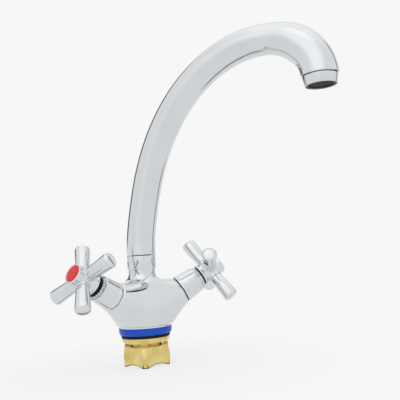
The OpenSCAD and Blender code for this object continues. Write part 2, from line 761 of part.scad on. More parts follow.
body();
mounting_shank();
base_ring();
base_gasket();
mounting_nut();
spout_collar();
spout();
spout_tail();
tail_oring(1);  // tail_oring_1
tail_oring(2);  // tail_oring_2
split_ring();
slide_washer();
nose_bush();
aerator_housing();
aerator_gasket();
aerator_insert();
aerator_screen();
for (s = [[-1, "hot"], [1, "cold"]]) {
    seat_seal(s[0]);
    fixed_disc(s[0]);
    moving_disc(s[0]);
    valve_body(s[0]);
    spindle(s[0]);
    spindle_oring(s[0]);
    spindle_clip(s[0]);
    bonnet_sleeve(s[0]);
    stop_ring(s[0]);
    guide_ring(s[0]);
    hub(s[0]);
    handle_screw(s[0]);
    index(s[0]);
    for (i = [1 : 4]) arm(s[0], i);
}
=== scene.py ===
import bpy
import bmesh
import json
import math
from mathutils import Matrix, Vector

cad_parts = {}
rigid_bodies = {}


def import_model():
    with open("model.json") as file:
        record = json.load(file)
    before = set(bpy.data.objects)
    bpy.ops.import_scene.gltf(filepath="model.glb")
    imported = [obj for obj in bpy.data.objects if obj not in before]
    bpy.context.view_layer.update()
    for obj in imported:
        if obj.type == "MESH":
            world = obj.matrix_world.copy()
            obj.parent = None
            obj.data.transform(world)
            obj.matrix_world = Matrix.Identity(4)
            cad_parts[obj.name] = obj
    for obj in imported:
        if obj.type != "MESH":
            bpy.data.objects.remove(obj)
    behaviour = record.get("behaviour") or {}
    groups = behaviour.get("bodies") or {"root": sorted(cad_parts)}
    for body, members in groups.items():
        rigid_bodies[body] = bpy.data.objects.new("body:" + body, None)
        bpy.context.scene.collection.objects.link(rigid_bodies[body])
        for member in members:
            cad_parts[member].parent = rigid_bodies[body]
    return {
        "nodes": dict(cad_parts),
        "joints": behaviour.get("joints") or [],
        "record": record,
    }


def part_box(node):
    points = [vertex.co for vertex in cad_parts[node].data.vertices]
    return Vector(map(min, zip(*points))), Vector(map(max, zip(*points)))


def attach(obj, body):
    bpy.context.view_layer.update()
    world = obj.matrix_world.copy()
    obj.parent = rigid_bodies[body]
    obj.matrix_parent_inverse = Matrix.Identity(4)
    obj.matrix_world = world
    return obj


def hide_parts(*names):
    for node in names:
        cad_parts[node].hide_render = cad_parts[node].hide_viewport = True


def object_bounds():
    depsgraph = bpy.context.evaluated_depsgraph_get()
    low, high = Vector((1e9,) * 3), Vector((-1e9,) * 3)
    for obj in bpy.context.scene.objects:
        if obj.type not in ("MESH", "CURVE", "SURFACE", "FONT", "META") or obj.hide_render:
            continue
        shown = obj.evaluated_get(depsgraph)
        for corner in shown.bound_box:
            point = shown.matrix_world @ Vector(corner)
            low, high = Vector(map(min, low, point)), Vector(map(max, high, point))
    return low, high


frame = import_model()
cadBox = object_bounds()
nodes = frame["nodes"]
scene = bpy.context.scene
mm = 0.001
origin = Matrix.Identity(4)
print("frame loaded:", len(nodes), "nodes")

# sizes that several pieces share, in millimetres and degrees; heights come from the frame
tap = {
    "valveRise": 29.5,
    "valveSplay": 14.0,
    "portReach": 41.0,
    "portRadius": 13.4,
    "tubeRadius": 13.3,
    "seam": 0.4,
    "seamEase": 0.18,  # how much each edge stands back from a seam that shows
}
valveSides = {"hot": -1, "cold": 1}  # hot is on the left, seen from the front
deckTop, gasketTop = (corner.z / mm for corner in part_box("base_gasket"))
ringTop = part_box("base_ring")[1].z / mm
neckTop, collarTop = (corner.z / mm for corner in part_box("spout_collar"))
tubeBase = collarTop + tap["seam"]
crossHeight = next(j["pos_m"][2] for j in frame["joints"] if j["name"] == "hot_handle_turn") / mm

# how meshes are made, for all pieces, in millimetres
weldGap = 0.002
axisGap = 0.0001  # outline points nearer to the axis than this are poles
smoothing = 0.5  # share of the way that a point moves in one round of smoothing

# objects and meshes


def addObject(name, data):
    holder = bpy.data.objects.new(name, data)
    scene.collection.objects.link(holder)
    return holder


def clearAway(helper):
    mesh = helper.data
    bpy.data.objects.remove(helper)
    bpy.data.meshes.remove(mesh)


def addModifier(piece, name, kind, **settings):
    modifier = piece.modifiers.new(name, kind)
    for label, value in settings.items():
        setattr(modifier, label, value)


# bakes the modifiers on an object into a fresh mesh and clears the object away
def bakeModifiers(worker):
    graph = bpy.context.evaluated_depsgraph_get()
    mesh = bpy.data.meshes.new_from_object(worker.evaluated_get(graph))
    clearAway(worker)
    return mesh


# cuts, joins or intersects an object with others and clears them all away
def combine(target, others, operation):
    for other in others:
        addModifier(target, "combine", "BOOLEAN", operation=operation, solver="EXACT", object=other)
    mesh = bakeModifiers(target)
    for other in others:
        clearAway(other)
    return mesh


# writes a bmesh to its mesh with all faces turned outward
def writeBack(work, mesh):
    bmesh.ops.recalc_face_normals(work, faces=work.faces)
    work.to_mesh(mesh)
    work.free()


def plainObject(name, work):
    mesh = bpy.data.meshes.new(name)
    writeBack(work, mesh)
    return addObject(name, mesh)


# one object from a mesh: outward faces, smooth with crisp edges kept
def finishMesh(name, mesh, crisp=32):
    work = bmesh.new()
    work.from_mesh(mesh)
    writeBack(work, mesh)
    for polygon in mesh.polygons:
        polygon.use_smooth = True
    mesh.set_sharp_from_angle(angle=math.radians(crisp))
    return addObject(name, mesh)


def meshFrom(name, verts, faces, place=origin):
    mesh = bpy.data.meshes.new(name)
    mesh.from_pydata(verts, [], faces)
    mesh.transform(place)
    return mesh


# faces between neighbouring rings of vertex numbers; a pole is one number all the way round
def ringFaces(rings, closed):
    faces = []
    for low, high in zip(rings, rings[1:] + rings[:1] if closed else rings[1:]):
        for k in range(len(low)):
            n = (k + 1) % len(low)
            face = [low[k], low[n], high[n], high[k]]
            face = [v for i, v in enumerate(face) if v != face[i - 1]]
            if len(face) > 2:
                faces.append(face)
    return faces


def circlePoints(radius, height, place=origin, count=128):
    return [place @ Vector((radius * mm * math.cos(2 * math.pi * k / count),
                            radius * mm * math.sin(2 * math.pi * k / count), height * mm))
            for k in range(count)]


def solidCylinder(work, radius, low, high, place=origin, count=128):
    rings = [[work.verts.new(p) for p in circlePoints(radius, z, place, count)] for z in (low, high)]
    work.faces.new(reversed(rings[0]))
    work.faces.new(rings[1])
    for face in ringFaces(rings, False):
        work.faces.new(face)


# a corner list becomes a smooth outline: each corner is (radius, along, rounding)
def softenCorners(corners, steps=4):
    outline = []
    for i, (r, z, rounding) in enumerate(corners):
        corner = Vector((r, z))
        if rounding == 0 or i in (0, len(corners) - 1):
            outline.append(corner)
            continue
        before = Vector(corners[i - 1][:2]) - corner
        after = Vector(corners[i + 1][:2]) - corner
        a = corner + before.normalized() * min(rounding, before.length / 2)
        b = corner + after.normalized() * min(rounding, after.length / 2)
        for s in range(steps + 1):
            t = s / steps
            outline.append(a.lerp(corner, t).lerp(corner.lerp(b, t), t))
    return outline


# ends an outline on the axis with a quarter of an ellipse that rises to the top
def addDome(outline, top, steps):
    rim = outline[-1]
    for step in range(1, steps + 1):
        a = math.radians(90 * step / steps)
        outline.append(Vector((rim.x * math.cos(a), rim.y + (top - rim.y) * math.sin(a))))


# turns an outline round +Z; the outline runs so that its left side is outside
def lathe(name, outline, place=origin, sides=96, closed=True):
    verts, rings = [], []
    for p in outline:
        if p.x < axisGap:
            rings.append([len(verts)] * sides)
            verts.append((0, 0, p.y * mm))
        else:
            rings.append(list(range(len(verts), len(verts) + sides)))
            verts += circlePoints(p.x, p.y, origin, sides)
    return finishMesh(name, meshFrom(name, verts, ringFaces(rings, closed), place))


# local +Z runs out along a valve
def valvePlace(side):
    heading = -tap["valveSplay"] if side > 0 else 180 + tap["valveSplay"]
    turn = Matrix.Rotation(math.radians(heading), 4, "Z")
    lean = Matrix.Rotation(math.radians(90 - tap["valveRise"]), 4, "Y")
    return Matrix.Translation((0, 0, crossHeight * mm)) @ turn @ lean


# how far out a CAD node starts and ends along its valve, in millimetres
def stationsOf(nodeName, side):
    inward = valvePlace(side).inverted()
    heights = [(inward @ v.co).z / mm for v in nodes[nodeName].data.vertices]
    return min(heights), max(heights)


# shader nodes


# each input takes a number or colour, or is wired to another node's output
def fillInputs(tree, node, inputs):
    for label, value in inputs.items():
        socket = node.inputs[label]
        if isinstance(value, bpy.types.NodeSocket):
            tree.links.new(value, socket)
        elif socket.type == "RGBA":
            socket.default_value = value + (1,)
        else:
            socket.default_value = value


def addNode(tree, kind, inputs=None, **settings):
    node = tree.nodes.new("ShaderNode" + kind)
    for label, value in settings.items():
        setattr(node, label, value)
    fillInputs(tree, node, inputs or {})
    return node


def mathNode(tree, operation, *values):
    return addNode(tree, "Math", dict(enumerate(values)), operation=operation).outputs[0]


# maps a value from one span to another, with soft ends unless told otherwise
def mapRange(tree, value, span, result=(0, 1), ends="SMOOTHSTEP"):
    node = addNode(tree, "MapRange", {
        "Value": value, "From Min": span[0], "From Max": span[1], "To Min": result[0], "To Max": result[1],
    }, interpolation_type=ends)
    return node.outputs["Result"]


# a colour mix: the sockets 6, 7 and 2 are the ones for colours
def mixColours(tree, share, first, second):
    return addNode(tree, "Mix", {6: first, 7: second, "Factor": share}, data_type="RGBA").outputs[2]


def mixShaders(tree, share, first, second):
    return addNode(tree, "MixShader", {0: share, 1: first, 2: second}).outputs[0]


# a node group; an input without a number is a colour
def newGroup(name, inputs, outputs):
    group = bpy.data.node_groups.new(name, "ShaderNodeTree")
    for label, value in inputs.items():
        kind = "NodeSocketColor" if value is None else "NodeSocketFloat"
        socket = group.interface.new_socket(name=label, in_out="INPUT", socket_type=kind)
        if value is not None:
            socket.default_value = value
    for label, kind in outputs.items():
        group.interface.new_socket(name=label, in_out="OUTPUT", socket_type="NodeSocket" + kind)
    return group, group.nodes.new("NodeGroupInput").outputs, group.nodes.new("NodeGroupOutput")


def objectPlace(tree):
    return addNode(tree, "TexCoord").outputs["Object"]


# how the shared effects are drawn: the noise's detail, and the span of its values that shows
effects = {
    "marksDetail": 5,
    "marksSpan": (0.48, 0.72),
    "grainDetail": 4,
    "driftDetail": 3,
    "driftSpan": (0.3, 0.7),
    "driftPerPatch": 1.7,  # the shade drifts this much finer than the handling marks
    "sharpSpan": (0.502, 0.512),  # of Pointiness, where 0.5 is flat
}


# fingerprints and wiping marks: roughness goes up a little in soft patches
def makeHandlingMarks():
    group, start, end = newGroup(
        "handlingMarks",
        {"Patch Scale": 18.0, "Clean Roughness": 0.05, "Marked Roughness": 0.12},
        {"Roughness": "Float", "Marks": "Float"})
    patches = addNode(group, "TexNoise", {
        "Vector": objectPlace(group), "Scale": start["Patch Scale"], "Detail": effects["marksDetail"]})
    marks = mapRange(group, patches.outputs["Fac"], effects["marksSpan"])
    span = (start["Clean Roughness"], start["Marked Roughness"])
    fillInputs(group, end, {"Roughness": mapRange(group, marks, (0, 1), span, "LINEAR"), "Marks": marks})
    return group


# fine surface grain as a normal, for castings, rubber and mouldings
def makeFineGrain():
    group, start, end = newGroup(
        "fineGrain",
        {"Grain Scale": 900.0, "Grain Depth": 0.00002, "Strength": 0.3},
        {"Normal": "Vector", "Grain": "Float"})
    grain = addNode(group, "TexNoise", {
        "Vector": objectPlace(group), "Scale": start["Grain Scale"], "Detail": effects["grainDetail"]})
    bump = addNode(group, "Bump", {
        "Height": grain.outputs["Fac"], "Distance": start["Grain Depth"], "Strength": start["Strength"]})
    fillInputs(group, end, {"Normal": bump.outputs["Normal"], "Grain": grain.outputs["Fac"]})
    return group


# slow colour drift between two shades
def makeShadeDrift():
    group, start, end = newGroup(
        "shadeDrift",
        {"Drift Scale": 40.0, "Light Shade": None, "Dark Shade": None},
        {"Color": "Color"})
    drift = addNode(group, "TexNoise", {
        "Vector": objectPlace(group), "Scale": start["Drift Scale"], "Detail": effects["driftDetail"]})
    share = mapRange(group, drift.outputs["Fac"], effects["driftSpan"], ends="LINEAR")
    fillInputs(group, end, {"Color": mixColours(group, share, start["Light Shade"], start["Dark Shade"])})
    return group


# two masks for castings where painted shade is laid: the groove under the flange between two heights,
# darkened as painted shade, and the sharp edges low down, darkened as painted shade and painted dark
# reflection
def makeCastPaintedShade():
    group, start, end = newGroup(
        "castPaintedShade",
        {"Groove Top": -0.005, "Groove Foot": -0.009, "Edge Start": -0.0222, "Edge Full": -0.0244},
        {"Groove": "Float", "Edge": "Float"})
    height = addNode(group, "SeparateXYZ", {0: objectPlace(group)}).outputs["Z"]
    # 0 at the groove's top, 1 half way down and 2 at its foot, which is folded back to 0
    depth = mapRange(group, height, (start["Groove Top"], start["Groove Foot"]), (0, 2), "LINEAR")
    groove = mathNode(group, "PINGPONG", depth, 1)
    # painted shade and painted dark reflection on the sharp edges low down, found from height and
    # Pointiness
    low = mapRange(group, height, (start["Edge Start"], start["Edge Full"]), ends="LINEAR")
    sharp = mapRange(group, addNode(group, "NewGeometry").outputs["Pointiness"], effects["sharpSpan"])
    fillInputs(group, end, {"Groove": groove, "Edge": mathNode(group, "MULTIPLY", low, sharp)})
    return group


handlingMarks = makeHandlingMarks()
fineGrain = makeFineGrain()
shadeDrift = makeShadeDrift()
castPaintedShade = makeCastPaintedShade()

# light and dark are the shades that a finish drifts between, clean and marked its roughness
finishes = {
    "chromePlate": {
        "light": (0.72, 0.745, 0.76), "dark": (0.68, 0.705, 0.72), "metallic": 1.0,
        "clean": 0.035, "marked": 0.075, "patch": 22, "grain": 260, "depth": 0.000004, "bump": 0.05},
    "castBrass": {
        "light": (0.82, 0.68, 0.28), "dark": (0.68, 0.52, 0.17), "metallic": 1.0,
        "clean": 0.2, "marked": 0.32, "patch": 60, "grain": 1400, "depth": 0.00005, "bump": 0.3,
        # painted shade: the groove colour darkens the recess under the flange as if shaded, and the edge
        # colour darkens the low sharp edges as painted shade and painted dark reflection
        "groove": (0.5, 0.29, 0.055), "grooveHeights": (-0.0047, -0.0092),
        "edge": (0.06, 0.045, 0.02), "edgeHeights": (-0.0222, -0.0244), "paintedShadeRoughness": 0.25},
    # painted shade: near-black brass for inner pieces, so that the seams where they show read as shadow
    "seamShadeBrass": {
        "light": (0.13, 0.105, 0.065), "dark": (0.07, 0.057, 0.038), "metallic": 1.0,
        "clean": 0.4, "marked": 0.6, "patch": 80, "grain": 2200, "depth": 0.00002, "bump": 0.2},
    "turnedBrass": {
        "light": (0.76, 0.60, 0.28), "dark": (0.64, 0.48, 0.2), "metallic": 1.0,
        "clean": 0.22, "marked": 0.35, "patch": 80, "grain": 2200, "depth": 0.00002, "bump": 0.2},
    "turnedSteel": {
        "light": (0.62, 0.63, 0.64), "dark": (0.5, 0.51, 0.52), "metallic": 1.0,
        "clean": 0.2, "marked": 0.32, "patch": 90, "grain": 2200, "depth": 0.00002, "bump": 0.2},
    "blueMoulding": {
        "light": (0.012, 0.095, 0.64), "dark": (0.008, 0.075, 0.54), "metallic": 0.0, "specular": 0.25,
        "clean": 0.3, "marked": 0.42, "patch": 40, "grain": 1200, "depth": 0.00003, "bump": 0.25},
    "redMoulding": {
        "light": (0.88, 0.03, 0.026), "dark": (0.80, 0.024, 0.02), "metallic": 0.0, "specular": 0.3,
        "clean": 0.2, "marked": 0.28, "patch": 60, "grain": 900, "depth": 0.000004, "bump": 0.08},
    "blackRubber": {
        "light": (0.006, 0.006, 0.006), "dark": (0.003, 0.003, 0.003), "metallic": 0.0, "specular": 0.3,
        "clean": 0.75, "marked": 0.9, "patch": 60, "grain": 1600, "depth": 0.00006, "bump": 0.5},
    "groundCeramic": {
        "light": (0.86, 0.85, 0.82), "dark": (0.8, 0.79, 0.76), "metallic": 0.0,
        "clean": 0.18, "marked": 0.3, "patch": 90, "grain": 2600, "depth": 0.00001, "bump": 0.1},
    "darkMoulding": {
        "light": (0.03, 0.03, 0.028), "dark": (0.018, 0.018, 0.017), "metallic": 0.0,
        "clean": 0.35, "marked": 0.5, "patch": 80, "grain": 1500, "depth": 0.00004, "bump": 0.3},
    "platedMoulding": {
        "light": (0.62, 0.64, 0.65), "dark": (0.54, 0.56, 0.57), "metallic": 1.0,
        "clean": 0.16, "marked": 0.24, "patch": 90, "grain": 1500, "depth": 0.00002, "bump": 0.15},
    "darkWire": {
        "light": (0.16, 0.155, 0.145), "dark": (0.09, 0.088, 0.082), "metallic": 1.0,
        "clean": 0.35, "marked": 0.5, "patch": 200, "grain": 3000, "depth": 0.00001, "bump": 0.1},
}


# a material with an empty node tree and its output node
def emptyMaterial(name):
    material = bpy.data.materials.new(name)
    material.use_nodes = True
    material.node_tree.nodes.clear()
    return material, material.node_tree, addNode(material.node_tree, "OutputMaterial")


def groupNode(tree, group, inputs):
    return addNode(tree, "Group", inputs, node_tree=group).outputs


def makeFinish(name, look):
    material, tree, out = emptyMaterial(name)
    marks = groupNode(tree, handlingMarks, {
        "Patch Scale": look["patch"], "Clean Roughness": look["clean"], "Marked Roughness": look["marked"]})
    grain = groupNode(tree, fineGrain, {
        "Grain Scale": look["grain"], "Grain Depth": look["depth"], "Strength": look["bump"]})
    shade = groupNode(tree, shadeDrift, {
        "Drift Scale": look["patch"] * effects["driftPerPatch"],
        "Light Shade": look["light"], "Dark Shade": look["dark"]})
    colour, roughness = shade["Color"], marks["Roughness"]
    if "groove" in look:
        paintedShade = groupNode(tree, castPaintedShade, {
            "Groove Top": look["grooveHeights"][0], "Groove Foot": look["grooveHeights"][1],
            "Edge Start": look["edgeHeights"][0], "Edge Full": look["edgeHeights"][1]})
        # the groove and edge masks lay painted shade over the brass colour, and raise its roughness there
        for mask, paintedShadeColour in (("Groove", look["groove"]), ("Edge", look["edge"])):
            colour = mixColours(tree, paintedShade[mask], colour, paintedShadeColour)
            roughness = mathNode(tree, "MULTIPLY_ADD", paintedShade[mask], look["paintedShadeRoughness"], roughness)
    shader = addNode(tree, "BsdfPrincipled", {
        "Metallic": look["metallic"], "Specular IOR Level": look.get("specular", 0.5),
        "Base Color": colour, "Roughness": roughness, "Normal": grain["Normal"]})
    fillInputs(tree, out, {"Surface": shader.outputs["BSDF"]})
    return material


finish = {name: makeFinish(name, look) for name, look in finishes.items()}
print("finishes made:", ", ".join(finish))

# every CAD node takes the finish of its record slot
slotFinish = {
    "chrome_plate": "chromePlate", "raw_brass": "turnedBrass", "steel": "turnedSteel",
    "blue_plastic": "blueMoulding", "red_plastic": "redMoulding", "black_rubber": "blackRubber",
    "ceramic": "groundCeramic", "grey_plastic": "darkMoulding", "stop_plastic": "platedMoulding",
}
nodeSlot = {row["node"]: row["material_slot"] for row in frame["record"]["subparts"]}
# inner brass pieces whose ends show in a seam are made near black, as painted shade in those seams
nodeFinish = dict.fromkeys(("nose_bush", "spout_tail", "hot_valve_body", "cold_valve_body"), "seamShadeBrass")
nodeCrisp = 30  # degrees, edges sharper than this stay crisp
for name, node in nodes.items():
    node.data.materials.clear()
    node.data.materials.append(finish[nodeFinish.get(name, slotFinish[nodeSlot[name]])])
    if "custom_normal" in node.data.attributes:
        node.data.attributes.remove(node.data.attributes["custom_normal"])
    for polygon in node.data.polygons:
        polygon.use_smooth = True
    addModifier(node, "weld", "WELD", merge_threshold=weldGap * mm)
    addModifier(node, "edges", "EDGE_SPLIT", split_angle=math.radians(nodeCrisp))
print("CAD nodes finished")


# hands a piece to its body, its finish and the CAD nodes that it stands for
def fitPiece(piece, body, finishName, slotName, *stoodFor):
    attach(piece, body)
    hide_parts(*stoodFor)
    piece.data.materials.clear()
    piece.data.materials.append(finish[finishName])


# body

bodyForm = {
    "footRadius": 24.0,
    "bellyBulge": 3.0,
    "bellyHeight": 16.0,
    "saddleDrop": 10.5,  # from the neck's top to the saddle
    "saddleRadius": 16.2,
    "neckRadius": 12.4,
    "neckFillet": 6.6,
    "spigotRadius": 11.6,
    "spigotHeight": 6.5,
    "spigotDepth": 4.0,
    "spigotEdge": 0.3,
    "boreRadius": 9.5,
    "boreDepth": 16.0,
    "portBoreRadius": 9.4,
    "portBoreDepth": 17.0,
    "portShrink": 0.2,  # the rough ports end this much short
    "socketRadius": 13.05,
    "socketDepth": 8.0,
    "inletRadius": 4.5,
    "inletPitch": 10.8,
    "inletDepth": 8.0,
    "footLip": 2.2,
    "arcStep": 6,  # degrees
    "overlap": 1.0,  # how deep the rough forms run into each other
    "spare": 4.0,  # extra length at foot and neck, cut off crisply after the softening
    "cutPast": 20.0,
    "trimRadius": 60.0,
    "cutterSides": 96,
    "crisp": 40,  # degrees
    "voxel": 0.7,
    "rounds": 16,
    "middleRounds": 300,
    # the middle's softening goes from none to full between these two
    "footFade": (3, 10),  # height over the blue ring
    "portFade": (39, 33),  # way out along a valve
    "neckFade": (0, -4),  # height from the neck's top
    "saddleBand": 4.0,  # from this far under the saddle, it also fades towards the neck
    "saddleFade": (13, 21),  # way out from the neck's axis
    "saddleShare": 0.3,  # what is left of it at the neck
}
footForm = {
    "edge": 0.35,
    "flare": 0.1,
    "shoulder": 0.7,  # from the lip's top down
    "shoulderEdge": 0.3,
    "stepIn": 0.35,
    "stepDrop": 0.3,
    "stepEdge": 0.2,
    "lipIn": 0.1,
}


def ramp(value, start, end):
    return min(max((value - start) / (end - start), 0), 1)


def bellyRadius(height):
    along = min(max(1 - (height - ringTop) / bodyForm["bellyHeight"], -1), 1)
    return bodyForm["footRadius"] + bodyForm["bellyBulge"] * math.sin(math.acos(along))


# the casting's convex form, from the foot to both ports and a disc round the neck
def castingHull(name, topHeight, topRadius):
    form = bodyForm
    points = []
    for step in range(0, 91, form["arcStep"]):
        height = ringTop + form["bellyHeight"] * (1 - math.cos(math.radians(step)))
        points += circlePoints(bellyRadius(height), height)
    points += circlePoints(topRadius, topHeight)
    for side in valveSides.values():
        points += circlePoints(tap["portRadius"], tap["portReach"] - form["portShrink"], valvePlace(side))
    work = bmesh.new()
    made = bmesh.ops.convex_hull(work, input=[work.verts.new(p) for p in points])
    unused = set(made["geom_interior"] + made["geom_unused"])
    bmesh.ops.delete(work, geom=list(unused), context="VERTS")
    return plainObject(name, work)


# a ring that rounds the corner between the saddle and the neck
def neckFillet(saddle):
    form = bodyForm
    neck, reach = form["neckRadius"], form["neckFillet"]
    inner, base = neck - form["overlap"], saddle - form["overlap"]
    outline = [Vector((inner, base)), Vector((neck + reach, base))]
    for step in range(90, -1, -form["arcStep"]):
        a = math.radians(step)
        outline.append(Vector((neck + reach * (1 - math.cos(a)), saddle + reach * (1 - math.sin(a)))))
    outline.append(Vector((inner, saddle + reach)))
    ring = lathe("roughFillet", outline)
    return combine(ring, [castingHull("filletLimit", neckTop, neck)], "INTERSECT")


# the rough forms, grown together into one skin
def roughCasting(saddle):
    form = bodyForm
    fillet = neckFillet(saddle)
    rough = castingHull("roughBody", saddle, form["saddleRadius"])
    work = bmesh.new()
    work.from_mesh(rough.data)
    work.from_mesh(fillet)
    solidCylinder(work, form["footRadius"], ringTop - form["spare"], ringTop + form["overlap"])
    solidCylinder(work, form["neckRadius"], ringTop + form["bellyHeight"], neckTop + form["spare"])
    writeBack(work, rough.data)
    bpy.data.meshes.remove(fillet)
    addModifier(rough, "voxels", "REMESH", mode="VOXEL", voxel_size=form["voxel"] * mm)
    return addObject("softBody", bakeModifiers(rough))


# the middle of the casting is softened most, its foot, ports and neck stay near their size
def softenCasting(soft, saddle):
    form = bodyForm
    group = soft.vertex_groups.new(name="middle")
    inward = [valvePlace(side).inverted() for side in valveSides.values()]
    for vertex in soft.data.vertices:
        height = vertex.co.z / mm
        spread = math.hypot(vertex.co.x, vertex.co.y) / mm
        along = max((way @ vertex.co).z / mm for way in inward)
        weight = (ramp(height - ringTop, *form["footFade"]) * ramp(along, *form["portFade"])
                  * ramp(height - neckTop, *form["neckFade"]))
        if height > saddle - form["saddleBand"]:
            left = form["saddleShare"]
            weight *= left + (1 - left) * ramp(spread, *form["saddleFade"])
        if weight > 0:
            group.add([vertex.index], weight, "REPLACE")
    addModifier(soft, "soften", "SMOOTH", factor=smoothing, iterations=form["rounds"])
    addModifier(soft, "blend", "SMOOTH", factor=smoothing, iterations=form["middleRounds"],
                vertex_group="middle")


# what is cut off at foot and neck, then the neck's bore, the shank's socket, the ports and the inlets
def castingCutters(lip):
    form = bodyForm
    past, port = form["cutPast"], tap["portReach"]
    socketTop = ringTop + form["socketDepth"]
    cuts = [
        (form["trimRadius"], ringTop - past, lip, origin),
        (form["trimRadius"], neckTop, neckTop + past, origin),
        (form["boreRadius"], neckTop - form["boreDepth"], neckTop + past, origin),
        (form["socketRadius"], ringTop - past, socketTop, origin),
    ]
    for side in valveSides.values():
        boreEnd = port - form["portBoreDepth"]
        cuts.append((form["portBoreRadius"], boreEnd, port + past / 2, valvePlace(side)))
    for side in valveSides.values():
        inlet = Matrix.Translation((side * form["inletPitch"] / 2 * mm, 0, 0))
        cuts.append((form["inletRadius"], ringTop, socketTop + form["inletDepth"], inlet))
    cutters = []
    for radius, low, high, place in cuts:
        work = bmesh.new()
        solidCylinder(work, radius, low, high, place, form["cutterSides"])
        cutters.append(plainObject("cutter", work))
    return cutters


# the crisp foot under the casting, up to the lip
def makeFoot(lip):
    form = footForm
    inner, outer, belly = bodyForm["socketRadius"], bodyForm["footRadius"], bellyRadius(lip)
    return lathe("bodyFoot", softenCorners([
        (inner, ringTop, 0), (outer, ringTop, form["edge"]),
        (outer + form["flare"], lip - form["shoulder"], form["shoulderEdge"]),
        (belly - form["stepIn"], lip - form["stepDrop"], form["stepEdge"]),
        (belly - form["lipIn"], lip, 0), (inner, lip, 0)]))


def makeSpigot():
    form = bodyForm
    low, high = neckTop - form["spigotDepth"], neckTop + form["spigotHeight"]
    return lathe("neckSpigot", softenCorners([
        (form["boreRadius"], low, 0), (form["spigotRadius"], low, 0),
        (form["spigotRadius"], high, form["spigotEdge"]), (form["boreRadius"], high, 0)]))


def makeBody():
    saddle = neckTop - bodyForm["saddleDrop"]
    lip = ringTop + bodyForm["footLip"]
    soft = roughCasting(saddle)
    softenCasting(soft, saddle)
    mesh = combine(soft, castingCutters(lip), "DIFFERENCE")
    casting = finishMesh("bodyCasting", mesh, bodyForm["crisp"])
    for piece in (casting, makeFoot(lip), makeSpigot()):
        fitPiece(piece, "tap_body", "chromePlate", "chrome_plate", "body")
    print("body:", len(casting.data.vertices), "points")


makeBody()

# spout

spoutForm = {
    "length": 314.0,
    "wall": 1.5,
    "edge": 0.35,
    "noseRadius": 15.7,
    "turn": -62.0,  # from +X, seen from above
    "flareFrom": 0.79,
    "flareTo": 0.91,
    "rings": 220,
    "sides": 112,
    # share of the length, and degrees that the tube leans there from straight up
    "headings": [(0, 0), (0.07, 10), (0.2, 15.5), (0.34, 28), (0.47, 42.5), (0.6, 60), (0.74, 84.5),
                 (0.81, 98.5), (0.875, 120), (0.94, 146.5), (1, 178)],
    "blendShare": 0.03,
    "blendSteps": 4,
}


def rawHeading(share):
    table = spoutForm["headings"]
    share = min(max(share, 0), 1)
    for (s0, h0), (s1, h1) in zip(table, table[1:]):
        if share <= s1:
            return h0 + (h1 - h0) * (share - s0) / (s1 - s0)
    return table[-1][1]


# the table's corners are eased over a short stretch, so that reflections run on
def heading(share):
    reach, steps = min(spoutForm["blendShare"], share, 1 - share), spoutForm["blendSteps"]
    samples = [rawHeading(share + reach * k / steps) for k in range(-steps, steps + 1)]
    return math.radians(sum(samples) / len(samples))


def spoutRadius(share):
    form = spoutForm
    t = ramp(share, form["flareFrom"], form["flareTo"])
    return tap["tubeRadius"] + (form["noseRadius"] - tap["tubeRadius"]) * t * t * (3 - 2 * t)


def spoutPath():
    form = spoutForm
    step = form["length"] / form["rings"]
    path = [Vector((0, tubeBase + tap["seamEase"]))]
    for i in range(form["rings"]):
        a = heading((i + 0.5) / form["rings"])
        path.append(path[-1] + step * Vector((math.sin(a), math.cos(a))))
    return path


# returns the place of the spout's end, with +Z out of the nose
def makeSpout():
    form = spoutForm
    path = spoutPath()
    sides, last, edge = form["sides"], form["rings"], form["edge"]
    # up the outside and back down the bore: station, radius, slide along the path
    loops = [(0, spoutRadius(0) - edge, 0), (0, spoutRadius(0), edge)]
    loops += [(i, spoutRadius(i / last), 0) for i in range(1, last)]
    loops += [(last, spoutRadius(1), -edge), (last, spoutRadius(1) - edge, 0)]
    loops += [(i, spoutRadius(i / last) - form["wall"], 0) for i in range(last, -1, -1)]
    verts = []
    for i, radius, slide in loops:
        a = heading(i / last)
        centre = path[i] + slide * Vector((math.sin(a), math.cos(a)))
        for k in range(sides):
            b = 2 * math.pi * k / sides
            verts.append((
                (centre.x + radius * math.cos(b) * math.cos(a)) * mm, radius * math.sin(b) * mm,
                (centre.y - radius * math.cos(b) * math.sin(a)) * mm))
    rings = [list(range(j * sides, (j + 1) * sides)) for j in range(len(loops))]
    turn = Matrix.Rotation(math.radians(form["turn"]), 4, "Z")
    mesh = meshFrom("spoutTube", verts, ringFaces(rings, True), turn)
    fitPiece(finishMesh("spoutTube", mesh), "spout_arm", "chromePlate", "chrome_plate", "spout")
    end = Matrix.Translation((path[-1].x * mm, 0, path[-1].y * mm))
    return turn @ end @ Matrix.Rotation(heading(1), 4, "Y")


nosePlace = makeSpout()
print("spout: swept")

# spout collar

collarForm = {"lipHeight": 4.0, "innerRadius": 11.65, "lipBore": 8.95, "edge": 0.35}


def makeCollar():
    form, outer = collarForm, tap["tubeRadius"]
    top, lip = collarTop - tap["seamEase"], collarTop - form["lipHeight"]
    collar = lathe("spoutCollar", softenCorners([
        (form["innerRadius"], neckTop, 0), (outer, neckTop, form["edge"]), (outer, top, form["edge"]),
        (form["lipBore"], top, 0), (form["lipBore"], lip, 0), (form["innerRadius"], lip, 0)]))
    fitPiece(collar, "tap_body", "chromePlate", "chrome_plate", "spout_collar")


makeCollar()

# base ring and gasket

baseForm = {
    "ringRadius": 24.2,
    "gasketRadius": 22.3,
    "innerRadius": 13.4,
    "ringEdge": 0.5,
    "ringShoulder": 1.2,
    "chamfersHigh": 3,  # the ring's height, counted in its chamfers
    "gasketEdge": 0.9,
}


